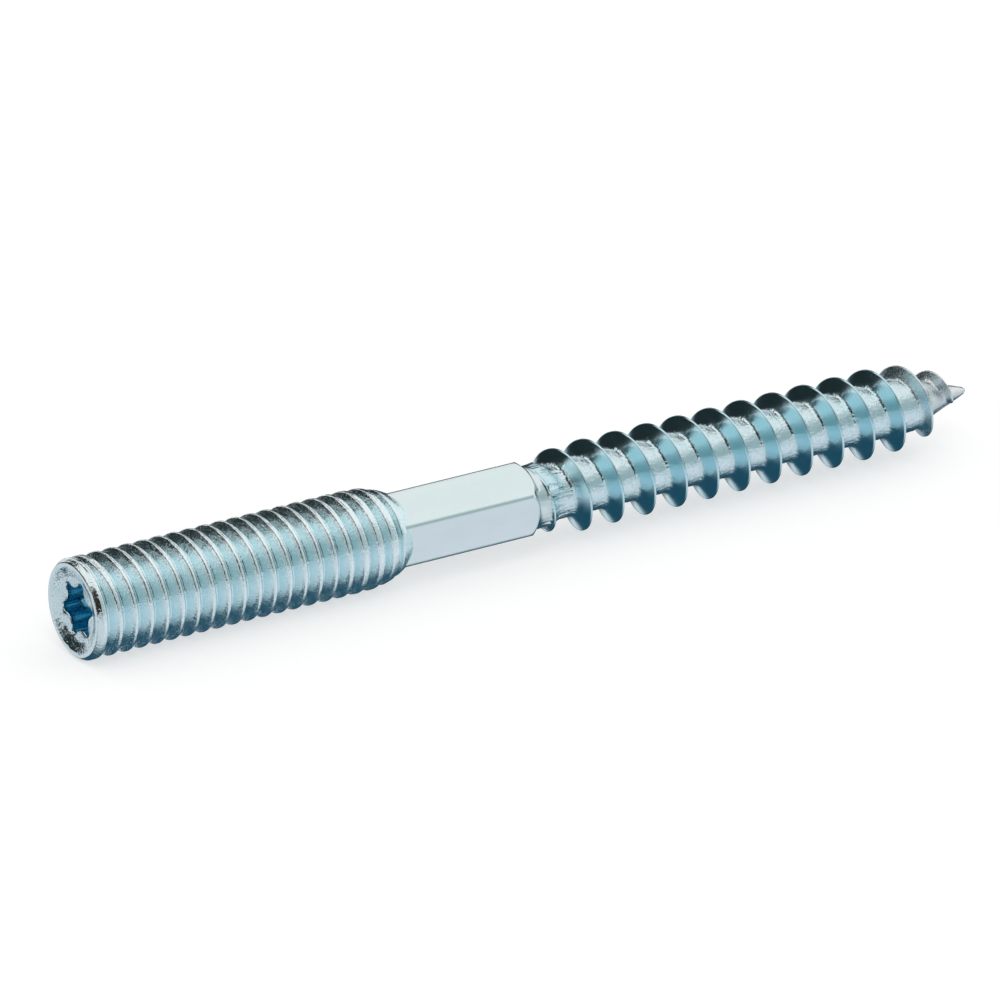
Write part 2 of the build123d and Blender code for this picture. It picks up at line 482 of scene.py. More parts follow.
@dataclass(frozen=True)
class DriveEnd:
    """The bevelled rim, the dish inside it and the six-lobed recess.

    The rows of the floor and the wall are shares of the way out and up, those of the mouth
    are lifts over the dish's floor with how far they stand outside the recess, those of the
    dish are radii, those of the rim are stations with radii, and those of the bevel are
    stations.
    """

    crest_radius: float = CREST_RADIUS
    bevel_length: float = 0.3
    bevel_overrun: float = 0.03
    bevel_drop: float = 0.004
    rim_radius: float = 2.72
    dish_radius: float = 2.55
    dish_depth: float = 0.3
    dish_floor_radius: float = 1.775
    dish_top: float = 0.004
    mouth_depth: float = 0.1
    lobe_reach: float = 1.675
    lobe_radius: float = 0.267
    lobe_pull: float = 0.08
    waist: float = 1.2
    recess_turn: float = 46.0
    wall_end: float = 1.55
    depth: float = 2.5
    uneven: Grain = Grain(seed=11, height=0.006, longest=3.0, shortest=0.8, around=(3, 17))
    floor_rows: tuple[float, ...] = (0.12, 0.3, 0.5, 0.7, 0.88, 0.96)
    wall_rows: tuple[float, ...] = (0.0, 0.2, 0.5, 0.8, 1.0)
    mouth_rows: tuple[Pair, ...] = ((0.055, 0.012), (0.02, 0.035), (0.0, 0.075))
    dish_rows: tuple[float, ...] = (1.80, 1.95, 2.12, 2.30, 2.44, 2.52)
    rim_rows: tuple[Pair, ...] = (
        (0.012, 2.56), (0.0, 2.60), (0.0, 2.67), (0.008, 2.715), (0.04, 2.755),
    )
    bevel_rows: tuple[float, ...] = (0.09, 0.15, 0.21, 0.265)

    def outline(self, angles: np.ndarray) -> np.ndarray:
        """The recess's outline, six lobes with a round flute between each two.

        Args:
            angles: Angles about the bolt in radians.

        Returns:
            The radius of the recess at each angle.
        """
        lobe_centre = self.lobe_reach - self.lobe_radius
        reach = lobe_centre * math.cos(SIXTH / 2.0)
        beyond = self.lobe_radius**2 - lobe_centre**2 - self.waist**2 + 2.0 * self.waist * reach
        flute = beyond / (2.0 * (self.waist - reach - self.lobe_radius))
        flute_centre = self.waist + flute
        from_lobe = (angles - math.radians(self.recess_turn)) % SIXTH
        from_lobe = np.minimum(from_lobe, SIXTH - from_lobe)
        from_flute = SIXTH / 2.0 - from_lobe
        inside_lobe = self.lobe_radius**2 - (lobe_centre * np.sin(from_lobe)) ** 2
        lobe = lobe_centre * np.cos(from_lobe) + np.sqrt(np.maximum(inside_lobe, 0.0))
        inside_flute = flute**2 - (flute_centre * np.sin(from_flute)) ** 2
        waist = flute_centre * np.cos(from_flute) - np.sqrt(np.maximum(inside_flute, 0.0))
        share = self.lobe_radius / (flute + self.lobe_radius)
        touch_across = share * flute_centre * math.sin(SIXTH / 2.0)
        touch_along = (1.0 - share) * lobe_centre + share * flute_centre * math.cos(SIXTH / 2.0)
        return np.where(from_lobe <= math.atan2(touch_across, touch_along), lobe, waist)

    def build_recess(self, skin: Skin) -> None:
        """Adds the recess, from its floor to its rounded mouth in the dish.

        Args:
            skin: The surface to add to.
        """
        lobe_phase = (skin.angles - math.radians(self.recess_turn)) / SIXTH
        pulled = skin.angles - self.lobe_pull * np.sin(2.0 * math.pi * lobe_phase)
        outline = self.outline(pulled)
        floor_slope = (self.depth - self.wall_end) / self.lobe_reach
        foot = self.depth - floor_slope * outline
        mouth = self.dish_depth + self.mouth_depth
        first = outline * self.floor_rows[0]
        skin.last = skin.ring(self.depth - floor_slope * first, first, pulled)
        skin.cap(self.depth, False, Finish.RECESS)
        for share in self.floor_rows[1:]:
            radii = outline * share
            skin.grow(self.depth - floor_slope * radii, radii, Finish.RECESS, pulled)
        for share in self.wall_rows:
            skin.grow(foot + (mouth - foot) * share, outline, Finish.RECESS, pulled)
        for lift, spread in self.mouth_rows:
            skin.grow(self.dish_depth + lift, outline + spread, Finish.DRIVE_FACE, pulled)

    def build(self, skin: Skin) -> None:
        """Adds the drive end, from the recess's floor to the bevel's outer edge.

        Args:
            skin: The surface to add to.
        """
        self.build_recess(skin)
        slope = self.dish_depth / (self.dish_radius - self.dish_floor_radius)
        for radius in self.dish_rows:
            station = self.dish_depth - slope * (radius - self.dish_floor_radius)
            wobble = self.uneven.at(np.full(COLUMNS, radius), skin.angles)
            skin.grow(np.maximum(station + wobble, self.dish_top), radius, Finish.DRIVE_FACE)
        for station, radius in self.rim_rows:
            skin.grow(station, radius, Finish.DRIVE_FACE)
        rise = (self.crest_radius - self.rim_radius) / self.bevel_length
        for station in self.bevel_rows:
            skin.grow(station, self.rim_radius + rise * station, Finish.DRIVE_FACE)
        end = self.bevel_length + self.bevel_overrun
        skin.grow(end, self.crest_radius - self.bevel_drop, Finish.DRIVE_FACE)


@dataclass(frozen=True)
class MachineThread:
    """The fine metric thread and its rounded shoulder.

    Towards the shoulder the crests are worn: their flats widen from worn_from, and they are
    lower from lower_from, each over wear_length.
    """

    crest_radius: float = CREST_RADIUS
    root_radius: float = 2.30
    pitch: float = 1.0
    crest_origin: float = -0.04
    first_groove: float = 0.46
    fade_turns: float = 0.55
    flank_angle: float = 30.0
    crest_half: float = 0.02
    crest_round: float = 0.115
    round_rows: tuple[float, ...] = (15.0, 30.0, 45.0, 60.0)
    widest: float = 0.2
    flank_row: float = 0.55
    root_half: float = 0.085
    root_bowl: float = 0.047
    root_depth: float = 0.35
    worn_half: float = 0.07
    worn_from: float = 15.6
    lower: float = 0.02
    lower_from: float = 16.6
    wear_length: float = 2.0
    shoulder_start: float = 18.4
    shoulder_length: float = 2.5
    shoulder_foot: float = 2.2
    rough: Grain = Grain(seed=21, height=0.003, longest=0.9, shortest=0.18)
    nicks: Grain = Grain(seed=23, height=0.0045, longest=1.2, shortest=0.25, around=(9, 60))
    dents: tuple[Dent, ...] = (Dent(20.15, 147.0, 0.17, 0.05),)

    def envelope(self, stations: np.ndarray) -> np.ndarray:
        """The outline of the blank that the thread is rolled on.

        Args:
            stations: Stations along the bolt.

        Returns:
            The radius at each station.
        """
        drop = self.crest_radius - self.shoulder_foot
        arc = (self.shoulder_length**2 + drop**2) / (2.0 * drop)
        along = np.maximum(stations - self.shoulder_start, 0.0)
        worn = self.lower * smooth_step((stations - self.lower_from) / self.wear_length)
        height = np.sqrt(np.maximum(arc**2 - along**2, 0.0))
        return self.crest_radius - worn - arc + height

    def station_at(self, radii: np.ndarray) -> np.ndarray:
        """Where the shoulder has come down to given radii, by Newton's method.

        Args:
            radii: The radii to find.

        Returns:
            A station for each radius.
        """
        rounds, step = 12, 1e-3
        stations = np.full(radii.shape, self.shoulder_start + self.shoulder_length)
        for _ in range(rounds):
            here = self.envelope(stations)
            slope = (self.envelope(stations + step) - here) / step
            stations = stations - (here - radii) / slope
        return stations

    def lift(self, grooves: np.ndarray) -> np.ndarray:
        """How much shallower than full the first grooves are.

        Args:
            grooves: The grooves' stations.

        Returns:
            What each groove lacks of its full depth.
        """
        turns = (grooves - self.first_groove) / self.pitch
        full = self.crest_radius - self.root_radius
        return full * (1.0 - smooth_step(turns / self.fade_turns))

    def half_flat(self, crests: np.ndarray, lost: np.ndarray) -> np.ndarray:
        """Half the width of the flats on crests.

        Args:
            crests: The crests' stations.
            lost: How much lower than full each ridge is.

        Returns:
            Half the width of each flat.
        """
        worn = self.worn_half * smooth_step((crests - self.worn_from) / self.wear_length)
        tangent = math.tan(math.radians(self.flank_angle))
        return self.crest_half + worn + np.clip(lost * tangent, 0.0, self.widest)

    def rows(self, crests: np.ndarray) -> np.ndarray:
        """Spaces the rows of one turn, from a groove's middle to just short of the next.

        Args:
            crests: The crest's station in each column.

        Returns:
            Each row's distance from the crest in each column.
        """
        half = self.pitch / 2.0
        lowest = self.shoulder_start + self.shoulder_length
        lost = self.crest_radius - self.envelope(np.minimum(crests, lowest))
        foot = np.full(crests.shape, half - self.root_half)
        sides = []
        for side in (-1.0, 1.0):
            flat = self.half_flat(crests, self.lift(crests + side * half) + lost)
            away = [flat]
            for tilt in self.round_rows:
                away.append(flat + self.crest_round * math.sin(math.radians(tilt)))
            flank = self.flank_row * foot + (1.0 - self.flank_row) * away[-1]
            away += [flank, foot, foot + 0.5 * self.root_half]
            sides.append([side * a for a in away])
        below = [np.full(crests.shape, -half), *sides[0][::-1]]
        return np.array([*below, np.zeros(crests.shape), *sides[1]])

    def radius(self, stations: np.ndarray, away: np.ndarray, angles: np.ndarray) -> np.ndarray:
        """The thread's outline.

        Args:
            stations: Stations along the bolt.
            away: Distances from the middle of the crest.
            angles: Angles about the bolt in radians.

        Returns:
            The radius at each point.
        """
        half = self.pitch / 2.0
        slope = math.radians(90.0 - self.flank_angle)
        apart = np.abs(away)
        crests = stations - away
        lift = self.lift(crests + np.where(away < 0.0, -half, half))
        top = self.envelope(stations)
        flat = self.half_flat(crests, lift + self.crest_radius - top)
        past = np.maximum(apart - flat, 0.0)
        reach = self.crest_round * math.sin(slope)
        drop = self.crest_round - np.sqrt(self.crest_round**2 - np.minimum(past, reach) ** 2)
        drop += np.maximum(past - reach, 0.0) * math.tan(slope)
        bowl = self.root_bowl * np.clip((half - apart) / self.root_half, 0.0, 1.0) ** 2
        root = self.root_radius + lift + bowl
        cut = np.minimum(np.maximum(top - drop, root), top)
        deep = smooth_step((top - cut) / self.root_depth)
        out = cut + deep * self.rough.at(stations, angles)
        out -= (1.0 - deep) * np.abs(self.nicks.at(stations, angles))
        for dent in self.dents:
            out -= dent.press(stations, out, angles)
        return np.minimum(out, self.crest_radius)

    def build(self, skin: Skin, hexagon: Hexagon) -> None:
        """Adds the thread and its shoulder, from the bevel to the hexagon.

        Args:
            skin: The surface to add to.
            hexagon: The shank that the shoulder runs down to.
        """
        radii = hexagon.radii(skin.angles)
        foot = skin.ring(self.station_at(radii), radii)
        helix = Helix(
            self.crest_origin, self.pitch, self.rows, self.radius,
            lambda station: Finish.MACHINE_THREAD,
        )
        helix.wind(skin, foot)


@dataclass(frozen=True)
class WoodThread:
    """The neck, the coarse wood thread and the point that it runs down to.

    The crest starts start_sunk below the neck's surface, rises over run_in, closes in an arc
    over taper and ends over thread_close before thread_end. The rows beside the crest stand
    at crest_row, at crest_half and crown_half past that, at shares of the flank, and at
    fillet_row past the flank's foot.
    """

    neck_radius: float = NECK_RADIUS
    neck_end: float = 30.8
    neck_fall: float = 0.35
    neck_bare: float = 0.2
    root_radius: float = 1.6
    crest_radius: float = 2.56
    pitch: float = 2.15
    crest_half: float = 0.042
    crest_row: float = 0.028
    crest_edge: float = 0.02
    crest_crown: float = 0.006
    crown_half: float = 0.03
    flank_angle: float = 27.0
    flank_rows: Pair = (0.45, 0.78)
    row_gap: float = 0.01
    lowest_ridge: float = 0.12
    fillet: float = 0.16
    fillet_row: float = 0.09
    thread_turn: float = 85.0
    thread_start: float = 29.9
    start_gap: float = 0.02
    start_sunk: float = 0.05
    run_in: float = 3.1
    run_in_share: float = -0.2
    taper: float = 5.6
    taper_end: float = 59.0
    thread_end: float = 58.87
    thread_close: float = 0.5
    point_start: float = 55.9
    point_swell: float = 0.045
    length: float = BOLT_LENGTH
    tip_radius: float = 0.15
    tip_length: float = 0.16
    tip_rows: tuple[Pair, ...] = ((0.1, 0.92), (0.04, 0.7), (0.01, 0.4))
    root_depth: float = 0.25
    rough: Grain = Grain(seed=31, height=0.010, longest=1.4, shortest=0.3, around=(6, 60))
    rough_from: float = 30.4
    rough_rise: float = 0.5
    rough_fall: float = 2.0
    crinkle: Grain = Grain(seed=33, height=0.036, longest=0.6, shortest=0.22, around=(14, 60))
    crinkled: Pair = (30.0, 32.2)
    crinkle_rise: float = 0.5
    crinkle_fall: float = 0.8
    dents: tuple[Dent, ...] = (
        Dent(51.2, 158.0, 0.22, 0.05),
        Dent(30.55, 150.0, 0.25, 0.05),
        Dent(31.0, 172.0, 0.2, 0.05),
    )

    def core(self, stations: np.ndarray) -> np.ndarray:
        """The outline of the root, without the thread.

        Args:
            stations: Stations along the bolt.

        Returns:
            The radius at each station.
        """
        past = np.clip((stations - self.neck_end) / self.neck_fall, 0.0, 1.0)
        shaft = self.neck_radius + (self.root_radius - self.neck_radius) * smooth_step(past)
        cone_length = self.length - self.point_start
        along = np.clip((stations - self.point_start) / cone_length, 0.0, 1.0)
        wave = 1.0 - np.cos(2.0 * math.pi * along)
        eased = along + self.point_swell * wave * (1.0 - along)
        return shaft + (self.tip_radius - self.root_radius) * eased

    def crest(self, stations: np.ndarray) -> np.ndarray:
        """The outline of the thread's crest.

        Args:
            stations: Stations along the bolt.

        Returns:
            The radius at each station, which is 0 past the thread's end.
        """
        rise = np.clip((stations - self.thread_start) / self.run_in, self.run_in_share, 1.0)
        lowest = self.neck_radius - self.start_sunk
        grown = lowest + (self.crest_radius - lowest) * np.sin(math.pi / 2.0 * rise)
        along = np.clip((stations - self.taper_end + self.taper) / self.taper, 0.0, 1.0)
        closed = self.crest_radius * np.sqrt(1.0 - along**2)
        ended = np.clip((self.thread_end - stations) / self.thread_close, 0.0, 1.0)
        return np.minimum(grown, closed) * smooth_step(ended)

    def rows(self, crests: np.ndarray) -> np.ndarray:
        """Spaces the rows of one turn, from a groove's middle to just short of the next.

        Args:
            crests: The crest's station in each column.

        Returns:
            Each row's distance from the crest in each column.
        """
        half = np.full(crests.shape, self.pitch / 2.0)
        tangent = math.tan(math.radians(self.flank_angle))
        height = np.maximum(self.crest(crests) - self.core(crests), self.lowest_ridge)
        foot = self.crest_half + height * tangent
        filleted = foot + self.fillet_row
        away = [
            np.full(crests.shape, self.crest_row),
            np.full(crests.shape, self.crest_half),
            np.full(crests.shape, self.crest_half + self.crown_half),
        ]
        for share in self.flank_rows:
            away.append(self.crest_half + share * (foot - self.crest_half) + self.row_gap)
        away += [foot + self.row_gap, filleted, (filleted + half) / 2.0]
        below = [-a for a in away[::-1]]
        return np.array([-half, *below, np.zeros(crests.shape), *away])

    def radius(self, stations: np.ndarray, away: np.ndarray, angles: np.ndarray) -> np.ndarray:
        """The thread's outline.

        Args:
            stations: Stations along the bolt.
            away: Distances from the middle of the crest.
            angles: Angles about the bolt in radians.

        Returns:
            The radius at each point.
        """
        tangent = math.tan(math.radians(self.flank_angle))
        apart = np.abs(away)
        crests = stations - away
        core = self.core(stations)
        flank = self.crest(crests) - np.maximum(apart - self.crest_half, 0.0) / tangent
        ridge = np.where(crests >= self.thread_start - self.start_gap, flank, 0.0)
        on_crest = apart < self.crest_half + self.crest_edge
        filleted = soft_max(core, ridge, self.fillet)
        out = np.where(on_crest, np.maximum(ridge, core), filleted)
        crown = np.clip(1.0 - apart / self.crown_half, 0.0, 1.0) * (ridge > core)
        out -= self.crest_crown * crown
        deep = 1.0 - smooth_step((out - core) / self.root_depth)
        out += deep * self.roughness(stations, angles)
        for dent in self.dents:
            out -= dent.press(stations, out, angles)
        return np.minimum(out, self.crest_radius)

    def roughness(self, stations: np.ndarray, angles: np.ndarray) -> np.ndarray:
        """The unevenness of the root, which is crinkled in the first groove.

        Args:
            stations: Stations along the bolt.
            angles: Angles about the bolt in radians.

        Returns:
            The height at each point.
        """
        begun = smooth_step((stations - self.rough_from) / self.rough_rise)
        ended = smooth_step((self.length - stations) / self.rough_fall)
        start, stop = self.crinkled
        creased = smooth_step((stations - start) / self.crinkle_rise)
        creased *= smooth_step((stop - stations) / self.crinkle_fall)
        rough = begun * ended * self.rough.at(stations, angles)
        return rough + creased * self.crinkle.at(stations, angles)

    def finish(self, station: float) -> Finish:
        """Chooses the finish along the wood end.

        Args:
            station: A station along the bolt.

        Returns:
            The finish there.
        """
        if station < self.neck_end - self.neck_bare:
            return Finish.SHANK
        return Finish.WOOD_THREAD if station < self.point_start else Finish.POINT

    def build(self, skin: Skin) -> None:
        """Adds the neck, the thread and the point.

        Args:
            skin: The surface to add to.
        """
        stop = np.full(COLUMNS, self.length - self.tip_length)
        origin = self.thread_start - self.pitch * self.thread_turn / 360.0
        cone_end = skin.ring(stop, self.core(stop))
        helix = Helix(origin, self.pitch, self.rows, self.radius, self.finish)
        helix.wind(skin, cone_end)
        for short, share in self.tip_rows:
            skin.grow(self.length - short, self.tip_radius * share, Finish.POINT)
        skin.cap(self.length, True, Finish.POINT)


class Nodes:
    """The nodes of a material or a world, while they are set up."""

    def __init__(self, owner: bpy.types.Material | bpy.types.World) -> None:
        """Starts with no nodes.

        Args:
            owner: The material or world that the nodes belong to.
        """
        owner.use_nodes = True
        self.tree = owner.node_tree
        self.tree.nodes.clear()

    def add(self, kind: str) -> bpy.types.Node:
        """Adds a shader node of a kind."""
        return self.tree.nodes.new(f"ShaderNode{kind}")

    def link(self, source: bpy.types.NodeSocket, target: bpy.types.NodeSocket) -> None:
        """Leads the value of one socket to another."""
        self.tree.links.new(source, target)

    def combine(
        self, operation: str, first: bpy.types.NodeSocket, second: bpy.types.NodeSocket
    ) -> bpy.types.NodeSocket:
        """Works out one value from two, held between 0 and 1 where they are added.

        Args:
            operation: ADD, MULTIPLY or MAXIMUM.
            first: One value.
            second: The other value.

        Returns:
            The socket with the result.
        """
        node = self.add("Math")
        node.operation = operation
        node.use_clamp = operation == "ADD"
        self.link(first, node.inputs[0])
        self.link(second, node.inputs[1])
        return node.outputs[0]

    def noise(
        self, where: bpy.types.NodeSocket, size: float, detail: float
    ) -> bpy.types.NodeSocket:
        """Adds a cloudy noise.

        Args:
            where: The place on the bolt.
            size: How large its features are, in metres.
            detail: How many finer layers it has.

        Returns:
            The socket with its value.
        """
        node = self.add("TexNoise")
        node.inputs["Scale"].default_value = 1.0 / size
        node.inputs["Detail"].default_value = detail
        self.link(where, node.inputs["Vector"])
        return node.outputs["Fac"]

    def spread(
        self,
        source: bpy.types.NodeSocket,
        span: Pair,
        to: Pair = (0.0, 1.0),
        kind: str = "LINEAR",
    ) -> bpy.types.NodeSocket:
        """Maps a span of a value onto another.

        Args:
            source: The value.
            span: The value's own limits.
            to: What those limits become.
            kind: How it goes from one limit to the other.

        Returns:
            The socket with the mapped value.
        """
        node = self.add("MapRange")
        node.interpolation_type = kind
        for name, number in zip(("From Min", "From Max", "To Min", "To Max"), (*span, *to)):
            node.inputs[name].default_value = number
        self.link(source, node.inputs["Value"])
        return node.outputs["Result"]

    def bump(
        self,
        source: bpy.types.NodeSocket,
        height: float,
        before: bpy.types.NodeSocket | None = None,
    ) -> bpy.types.NodeSocket:
        """Adds bumps to a surface.

        Args:
            source: How high each place is, from 0 to 1.
            height: What a value of 1 stands for, in metres.
            before: The direction of a surface that already has coarser bumps.

        Returns:
            The socket with the surface's direction.
        """
        node = self.add("Bump")
        node.inputs["Strength"].default_value = 1.0
        node.inputs["Distance"].default_value = height
        self.link(source, node.inputs["Height"])
        if before is not None:
            self.link(before, node.inputs["Normal"])
        return node.outputs["Normal"]

    def plain(self, kind: str, colour: Triple, strength: float = 1.0) -> bpy.types.NodeSocket:
        """Adds a shader of one colour.

        Args:
            kind: The kind of shader.
            colour: Its colour.
            strength: How bright it is, where it gives light.

        Returns:
            The socket with the shader.
        """
        node = self.add(kind)
        node.inputs["Color"].default_value = (*colour, 1.0)
        if "Strength" in node.inputs:
            node.inputs["Strength"].default_value = strength
        return node.outputs[0]

    def surface(
        self,
        kind: str,
        share: bpy.types.NodeSocket,
        first: bpy.types.NodeSocket,
        second: bpy.types.NodeSocket,
    ) -> None:
        """Shows a mix of two shaders.

        Args:
            kind: The kind of output.
            share: How much of the second shader shows.
            first: One shader.
            second: The other shader.
        """
        out = self.add(kind)
        mix = self.add("MixShader")
        self.link(share, mix.inputs["Fac"])
        self.link(first, mix.inputs[1])
        self.link(second, mix.inputs[2])
        self.link(mix.outputs[0], out.inputs["Surface"])

    def seen(self) -> bpy.types.NodeSocket:
        """Tells what the camera, metal and glass see from what lights the bolt.

        Returns:
            The socket with a value that is 1 for what they see, and 0 for light.
        """
        path = self.add("LightPath")
        value = path.outputs["Is Camera Ray"]
        for name in ("Is Glossy Ray", "Is Transmission Ray"):
            value = self.combine("MAXIMUM", value, path.outputs[name])
        return value


@dataclass(frozen=True)
class ZincPlating:
    """Bright zinc plating with a colour that blends by depth from the hollows of a formed
    surface to its outside, as painted shade and painted reflection.

    The depths are the radii between which its colour goes from deep to outer. The grain and
    the specks are bumps, each with its size across and its height in metres, and calm is how
    much of them the outermost places lose. The clouds and the wear are noises, each with its
    size across in metres and its number of finer layers.
    """

    name: str
    outer: Triple
    deep: Triple
    depths: Pair
    roughness: Pair
    grain: Pair
    specks: Pair
    mottle: float = 0.25
    stretch: Triple = (1.0, 1.0, 1.0)
    calm: float = 0.0
    clouds: Pair = (0.0009, 3.0)
    wear: Pair = (0.0005, 4.0)
    noise_span: Pair = (0.3, 0.7)
    grain_layers: float = 2.0
    speck_layers: float = 1.0
    speck_span: Pair = (0.5, 0.68)

    def material(self) -> bpy.types.Material:
        """Makes the finish a material.

        Returns:
            A metal whose colour, roughness and bump vary with the place on the bolt.
        """
        made = bpy.data.materials.new(self.name)
        nodes = Nodes(made)
        out = nodes.add("OutputMaterial")
        metal = nodes.add("BsdfPrincipled")
        metal.inputs["Metallic"].default_value = 1.0
        nodes.link(metal.outputs["BSDF"], out.inputs["Surface"])
        where = nodes.add("TexCoord").outputs["Object"]
        mapping = nodes.add("Mapping")
        mapping.inputs["Scale"].default_value = self.stretch
        nodes.link(where, mapping.inputs["Vector"])
        stretched = mapping.outputs["Vector"]
        share = self.outside(nodes, where)
        nodes.link(self.colour(nodes, where, share), metal.inputs["Base Color"])
        worn = nodes.noise(stretched, *self.wear)
        rough = nodes.spread(worn, self.noise_span, self.roughness)
        nodes.link(rough, metal.inputs["Roughness"])
        held = nodes.spread(share, (0.0, 1.0), (1.0, 1.0 - self.calm))
        grain = nodes.noise(stretched, self.grain[0], self.grain_layers)
        coarse = nodes.bump(nodes.combine("MULTIPLY", grain, held), self.grain[1])
        dots = nodes.noise(where, self.specks[0], self.speck_layers)
        specks = nodes.combine("MULTIPLY", nodes.spread(dots, self.speck_span), held)
        nodes.link(nodes.bump(specks, self.specks[1], coarse), metal.inputs["Normal"])
        return made

    def outside(self, nodes: Nodes, where: bpy.types.NodeSocket) -> bpy.types.NodeSocket:
        """Tells the hollows from the places further out.

        Args:
            nodes: The nodes to add to.
            where: The place on the bolt.

        Returns:
            The socket with a share that rises from 0 to 1 between the two depths.
        """
        across = nodes.add("VectorMath")
        across.operation = "MULTIPLY"
        across.inputs[1].default_value = (0.0, 1.0, 1.0)
        nodes.link(where, across.inputs[0])
        radius = nodes.add("VectorMath")
        radius.operation = "LENGTH"
        nodes.link(across.outputs["Vector"], radius.inputs[0])
        return nodes.spread(radius.outputs["Value"], tuple(depth * MM for depth in self.depths))

    def colour(
        self, nodes: Nodes, where: bpy.types.NodeSocket, share: bpy.types.NodeSocket
    ) -> bpy.types.NodeSocket:
        """Blends the two colours by depth, which paints shade and reflection into the hollows
        and onto the ridges, with a cloudy variation.

        Args:
            nodes: The nodes to add to.
            where: The place on the bolt.
            share: How far out that place is.

        Returns:
            The socket with the colour.
        """
        cloudy = nodes.noise(where, *self.clouds)
        cloud = nodes.spread(cloudy, self.noise_span, (-self.mottle, self.mottle))
        mix = nodes.add("Mix")
        mix.data_type = "RGBA"
        colours = [socket for socket in mix.inputs if socket.type == "RGBA"]
        colours[0].default_value = (*self.deep, 1.0)
        colours[1].default_value = (*self.outer, 1.0)
        # Painted shade and painted reflection: the colour goes from deep to outer with the
        # radius.
        nodes.link(nodes.combine("ADD", share, cloud), mix.inputs[0])
        return next(socket for socket in mix.outputs if socket.type == "RGBA")


# Each finish's deep and outer colours paint shade and reflection by depth.
FINISHES: dict[Finish, ZincPlating] = {
    # The recess's zinc is a much darker, bluer copy of the plating: painted shade inside the
    # recess.
    Finish.RECESS: ZincPlating(
        "zinc_recess_painted_shade", (0.25, 0.57, 0.70), (0.14, 0.49, 0.67), (0.8, 1.7), (0.14, 0.24),
        (0.00025, 0.00001), (0.00012, 0.000003),
    ),
    Finish.DRIVE_FACE: ZincPlating(
        "zinc_drive_face", (0.74, 0.83, 0.85), (0.66, 0.77, 0.81), (1.6, 2.7), (0.08, 0.18),
        (0.0004, 0.00002), (0.00014, 0.000006),
    ),
    Finish.MACHINE_THREAD: ZincPlating(
        "zinc_machine_thread", (0.78, 0.88, 0.90), (0.67, 0.845, 0.885), (2.4, 2.93),
        (0.05, 0.14), (0.00018, 0.000005), (0.00009, 0.000007), 0.15, (2.0, 0.6, 0.6),
    ),
    Finish.SHANK: ZincPlating(
        "zinc_shank", (0.71, 0.82, 0.82), (0.70, 0.80, 0.81), (2.1, 2.5), (0.20, 0.28),
        (0.0006, 0.000002), (0.00012, 0.0), 0.3, (0.25, 1.0, 1.0),
    ),
    Finish.WOOD_THREAD: ZincPlating(
        "zinc_wood_thread", (0.53, 0.75, 0.81), (0.66, 0.79, 0.82), (1.57, 1.95), (0.08, 0.20),
        (0.00026, 0.000018), (0.00011, 0.000007), 0.25, (2.0, 0.45, 0.45), 0.9,
    ),
    Finish.POINT: ZincPlating(
        "zinc_point", (0.66, 0.80, 0.84), (0.74, 0.77, 0.78), (0.6, 2.3), (0.22, 0.34),
        (0.00025, 0.000012), (0.0001, 0.000006),
    ),
}


@dataclass(frozen=True)
class Bolt:
    """The whole bolt as one skin, in the order of its outline."""

    drive_end: DriveEnd = DriveEnd()
    machine_thread: MachineThread = MachineThread()
    hexagon: Hexagon = Hexagon()
    wood_thread: WoodThread = WoodThread()

    def build(self) -> bpy.types.Object:
        """Builds the skin.

        Returns:
            The bolt as one object.
        """
        skin = Skin(angles=Columns().angles())
        self.drive_end.build(skin)
        self.machine_thread.build(skin, self.hexagon)
        self.hexagon.build(skin)
        self.wood_thread.build(skin)
        return skin.model("plated_bolt")

    def dress(self, made: bpy.types.Object) -> None:
        """Gives the bolt its finishes and even shading on its flats.

        Args:
            made: The bolt.
        """
        for finish in Finish:
            made.data.materials.append(FINISHES[finish].material())
        weighted = made.modifiers.new("even_shading", "WEIGHTED_NORMAL")
        weighted.mode = "FACE_AREA_WITH_ANGLE"
        weighted.weight = 50


def panel(name: str, corners: list[Triple], material: bpy.types.Material) -> bpy.types.Object:
    """Makes a flat panel that isn't part of the bolt.

    Args:
        name: The panel's name.
        corners: Its four corners.
        material: What it is made of.

    Returns:
        The panel.
    """
    mesh = bpy.data.meshes.new(name)
    mesh.from_pydata(corners, [], [(0, 1, 2, 3)])
    mesh.materials.append(material)
    made = put(name, mesh)
    return made


@dataclass(frozen=True)
class Card:
    """A soft-edged card that only the metal's reflections show.

    It has a corner and two sides from there, and each feather is the share of its side that
    it fades out over at the start and at the end.
    """

    name: str
    corner: Triple
    along: Triple
    up: Triple
    colour: Triple
    feather_along: Pair = (0.2, 0.2)
    feather_up: Pair = (0.2, 0.2)

    def build(self) -> None:
        """Sets the card up, out of the camera's sight and with no shadow."""
        corners = [(0.0, 0.0, 0.0), (1.0, 0.0, 0.0), (1.0, 1.0, 0.0), (0.0, 1.0, 0.0)]
        made = panel(self.name, corners, self.material())
        along, up = Vector(self.along), Vector(self.up)
        facing = along.cross(up).normalized()
        axes = Matrix((along, up, facing)).transposed().to_4x4()
        made.matrix_world = Matrix.Translation(Vector(self.corner)) @ axes
        made.visible_camera = False
        made.visible_shadow = False
        made.visible_diffuse = False

    def material(self) -> bpy.types.Material:
        """Makes the card's even glow, which fades out towards its edges.

        Returns:
            The material.
        """
        made = bpy.data.materials.new(self.name)
        nodes = Nodes(made)
        parts = nodes.add("SeparateXYZ")
        nodes.link(nodes.add("TexCoord").outputs["Object"], parts.inputs[0])
        fades = []
        for axis, (low, high) in enumerate((self.feather_along, self.feather_up)):
            for span in ((0.0, low), (1.0, 1.0 - high)):
                fades.append(nodes.spread(parts.outputs[axis], span, kind="SMOOTHSTEP"))
        shown = fades[0]
        for fade in fades[1:]:
            shown = nodes.combine("MULTIPLY", shown, fade)
        clear = nodes.add("BsdfTransparent").outputs[0]
        glow = nodes.plain("Emission", self.colour)
        nodes.surface("OutputMaterial", shown, clear, glow)
        return made


